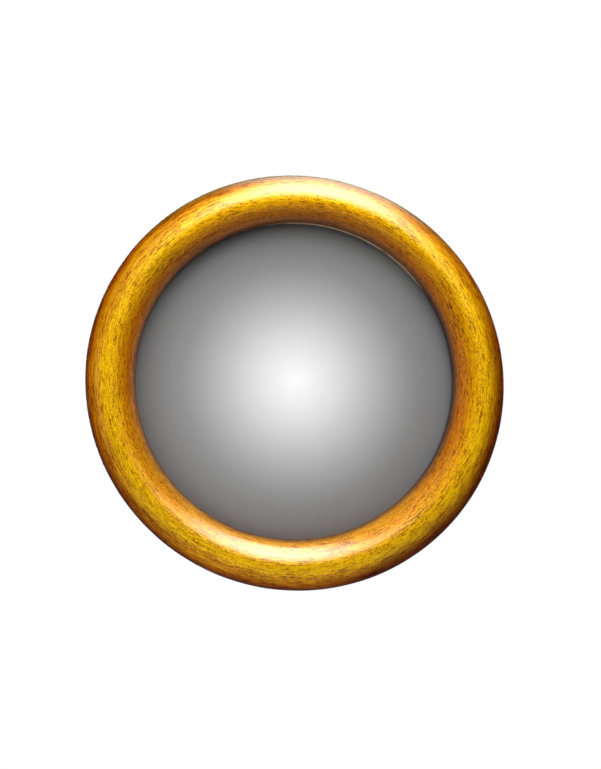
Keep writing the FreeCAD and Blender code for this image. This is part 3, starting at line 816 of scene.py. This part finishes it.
def dome(inward, start, end, steps):
    """Points on the glass's front, or this far behind it, between two radii."""
    radii = [start + (end - start) * i / steps for i in range(steps + 1)]
    return [(r, SPHERE_LEVEL + math.sqrt((GLASS_SPHERE - inward)**2 - r**2), 0.0) for r in radii]


# %% Turn the looking glass
pane = dome(0.0, 0.0, GLASS_RIM, 120) + dome(GLASS_THICKNESS, GLASS_RIM, 0.0, 24)
turn("looking_glass", pane, "mirror", "mirror_glass", ["mirror_glass"],
     **{"Steps Around": GLASS_STEPS, "Seed": 2, "Finish": silvering})

# %% [markdown]
# ## The wooden core
#
# Eight segments of pale wood are glued end to end and turned to shape. On the front the gesso
# hides them, but the back is bare. Each segment's grain runs straight along its board, so it meets
# the next one at 45 degrees.

# %% The wood's finish
RING_SCALE, PORE_SCALE = 160.0, 900.0


def bare_wood(tree):
    # Limewood, sawn into boards, turned, and never finished on the back: pale and matt, with
    # faint straight grain and fine pores that take a little dust. Real pores are 0.1 mm wide, and
    # are drawn at about 1 mm so that they show.
    grain = add(tree, "ShaderNodeAttribute", attribute_name="grain").outputs["Vector"]
    stretched = add(tree, "ShaderNodeMapping", {"Vector": grain, "Scale": (0.06, 1.0, 1.0)})
    rings = add(tree, "ShaderNodeTexNoise", {
        "Vector": stretched, "Scale": RING_SCALE, "Detail": 4.0, "Roughness": 0.6,
        "Distortion": 0.4})
    pores = add(tree, "ShaderNodeTexNoise", {
        "Vector": stretched, "Scale": PORE_SCALE, "Detail": 3.0, "Roughness": 0.7})
    wood = colour_ramp(add(tree, "ShaderNodeValToRGB", {"Fac": rings}), (
        (0.30, "#a87b4a"), (0.50, "#c39a66"), (0.70, "#d4b07c")))
    pore = add(tree, "ShaderNodeMapRange", {
        "Value": pores, "From Min": 0.35, "From Max": 0.6, "To Min": 0.72, "To Max": 1.04})
    wood = add(tree, "ShaderNodeMix", {"Factor": 1.0, "A": wood, "B": pore},
               data_type="RGBA", blend_type="MULTIPLY")
    relief = add(tree, "ShaderNodeBump", {"Strength": 0.5, "Distance": 0.1 * MM, "Height": pores})
    return add(tree, "ShaderNodeBsdfPrincipled", {
        "Base Color": wood, "Roughness": 0.65, "Normal": relief, "Specular IOR Level": 0.3})


timber = finish("bare_limewood", bare_wood)

# %% Turn the eight segments
SEGMENTS = (
    "top", "upper_right", "right", "lower_right", "bottom", "lower_left", "left", "upper_left")
SEGMENT_STEPS = 48
JOINT_GAP = math.radians(0.03)
FIRST_BOARD = 11
shoulder = [
    (SIGHT_RADIUS + SKIN, REBATE_DEPTH), (REBATE_RADIUS, REBATE_DEPTH), (REBATE_RADIUS, 0.0)]
core = [(r, d, plan(r)) for r, d in outer_line(SKIN, 24, 4) + shoulder]
core.append(core[0])
for number, name in enumerate(SEGMENTS):
    start = math.tau * (number - 0.5) / len(SEGMENTS) + JOINT_GAP / 2
    turn(f"timber_{name}", core, "mirror", "frame_wood", [f"frame_segment_{name}"], **SHAPE,
         **{"Steps Around": SEGMENT_STEPS, "Start Angle": start,
            "Sweep": math.tau / len(SEGMENTS) - JOINT_GAP, "Seed": FIRST_BOARD + number,
            "Finish": timber})

# %% [markdown]
# ## Finishes for the parts that keep their measured shape
#
# Board, fittings, pads and packing are machine-made, so their measured shape is their real one.
# They only need their stuff: one tree for the hardboard, one for metals and one for soft stuffs,
# told the colours and the size of the marks.

# %% Finishes of the back
FIBRE_SCALE, BLOT_SCALE, CLOUD_SCALE = 420.0, 18.0, 140.0


def hardboard(tree):
    # Brown hardboard: wood fibres steamed and pressed hot into a sheet. Its face is dull and even,
    # like felted hair, with broad faint blots from the press. Fibres are drawn at 2 mm to show.
    spot = add(tree, "ShaderNodeTexCoord").outputs["Object"]
    fibres = add(tree, "ShaderNodeTexNoise", {
        "Vector": spot, "Scale": FIBRE_SCALE, "Detail": 5.0, "Roughness": 0.75})
    blot = add(tree, "ShaderNodeTexNoise", {"Vector": spot, "Scale": BLOT_SCALE, "Detail": 3.0})
    mixed = add(tree, "ShaderNodeMix", {
        "Factor": 0.15, "A": fibres.outputs["Fac"], "B": blot.outputs["Fac"]})
    brown = colour_ramp(add(tree, "ShaderNodeValToRGB", {"Fac": mixed}), (
        (0.35, "#664628"), (0.5, "#80593a"), (0.65, "#9c744c")))
    relief = add(tree, "ShaderNodeBump", {"Strength": 0.6, "Distance": 0.15 * MM, "Height": fibres})
    return add(tree, "ShaderNodeBsdfPrincipled", {
        "Base Color": brown, "Roughness": 0.75, "Normal": relief, "Specular IOR Level": 0.3})


def metal(polish, dull, grit):
    """A metal between two shades, with fine scratches of this many millimetres."""
    # Small fittings are stamped or drawn, then rumbled in a barrel to take off the burrs. That
    # leaves a satin surface of fine scratches, cloudy where it was handled. Real scratches are
    # hundredths of a millimetre wide, and are drawn wider so that they show.
    def build(tree):
        spot = add(tree, "ShaderNodeTexCoord").outputs["Object"]
        long_way = add(tree, "ShaderNodeMapping", {"Vector": spot, "Scale": (0.15, 1.0, 1.0)})
        scratch = add(tree, "ShaderNodeTexNoise", {
            "Vector": long_way, "Scale": 1 / (grit * MM), "Detail": 3.0, "Roughness": 0.7})
        cloud = add(tree, "ShaderNodeTexNoise", {
            "Vector": spot, "Scale": CLOUD_SCALE, "Detail": 3.0})
        shade = colour_ramp(add(tree, "ShaderNodeValToRGB", {"Fac": cloud}), (
            (0.35, dull), (0.62, polish)))
        rough = add(tree, "ShaderNodeMapRange", {"Value": scratch, "To Min": 0.28, "To Max": 0.54})
        relief = add(tree, "ShaderNodeBump", {
            "Strength": 0.3, "Distance": 0.02 * MM, "Height": scratch})
        return add(tree, "ShaderNodeBsdfPrincipled", {
            "Base Color": shade, "Metallic": 1.0, "Roughness": rough, "Normal": relief})
    return build


def soft(light, dark, size, roughness, depth):
    """A matt stuff of specks of this size and depth, both in millimetres."""
    # Specks are as large as the stuff's granules, or drawn larger where those are too fine to show.
    def build(tree):
        spot = add(tree, "ShaderNodeTexCoord").outputs["Object"]
        speck = add(tree, "ShaderNodeTexNoise", {
            "Vector": spot, "Scale": 1 / (size * MM), "Detail": 4.0, "Roughness": 0.7})
        shade = colour_ramp(add(tree, "ShaderNodeValToRGB", {"Fac": speck}), (
            (0.35, dark), (0.65, light)))
        relief = add(tree, "ShaderNodeBump", {
            "Strength": 0.5, "Distance": depth * MM, "Height": speck})
        return add(tree, "ShaderNodeBsdfPrincipled", {
            "Base Color": shade, "Roughness": roughness, "Normal": relief,
            "Specular IOR Level": 0.35})
    return build


FINISHES = {
    "backing_board": finish("brown_hardboard", hardboard),
    # Beech, sawn to strips and glued in: even, close-grained and matt.
    "joint_splines": finish("beech_spline", soft("#c8a478", "#a98457", 0.8, 0.7, 0.05)),
    # Wool felt, die-cut from a sheet: black, fuzzy, with no shine at all.
    "glass_cushion": finish("wool_felt", soft("#2c2a27", "#171513", 0.4, 0.95, 0.2)),
    # Cork granules pressed with glue and cut with a knife: mottled brown and matt.
    "packing_ring": finish("pressed_cork", soft("#b98a58", "#7c5530", 1.2, 0.85, 0.2)),
    # Brass wood screws, headed cold and turned: warm yellow with a soft gleam on each head.
    "turn_button_screws": finish("brass_screw", metal("#c8a257", "#9c7a38", 0.25)),
    # Mild steel strip, stamped and bent, then plated in bright zinc: cool grey and satin.
    "hanger_strap": finish("zinc_plated_strap", metal("#c4c5c4", "#9a9b9c", 0.3)),
    # Steel wire bent to a D and plated with the strap: a little brighter, as wire is smoother.
    "hanger_ring": finish("zinc_plated_wire", metal("#cfcfce", "#a3a4a5", 0.3)),
    # Plain steel screws, oiled: darker and duller than the zinc round them.
    "hanger_screws": finish("steel_screw", metal("#8f8f8d", "#636366", 0.25)),
}
# Sheet brass, stamped and gone a little brown with age: satin, deeper than the screws.
stamped_brass = finish("stamped_brass", metal("#cfa95c", "#a17d3a", 0.3))
# Moulded rubber, dusty black: matt, with just enough sheen to show its rounded edge.
black_rubber = finish("black_rubber", soft("#2b2b2b", "#171717", 0.5, 0.6, 0.04))
for name in nodes:
    if name.startswith("turn_button_") and name not in FINISHES:
        FINISHES[name] = stamped_brass
    if name.startswith("bumper_pad_"):
        FINISHES[name] = black_rubber
for name, material in FINISHES.items():
    for slot in nodes[name].material_slots:
        slot.material = material
print(len(FINISHES), "measured parts finished")

# %% Colour handling
bpy.context.scene.view_settings.view_transform = "Standard"
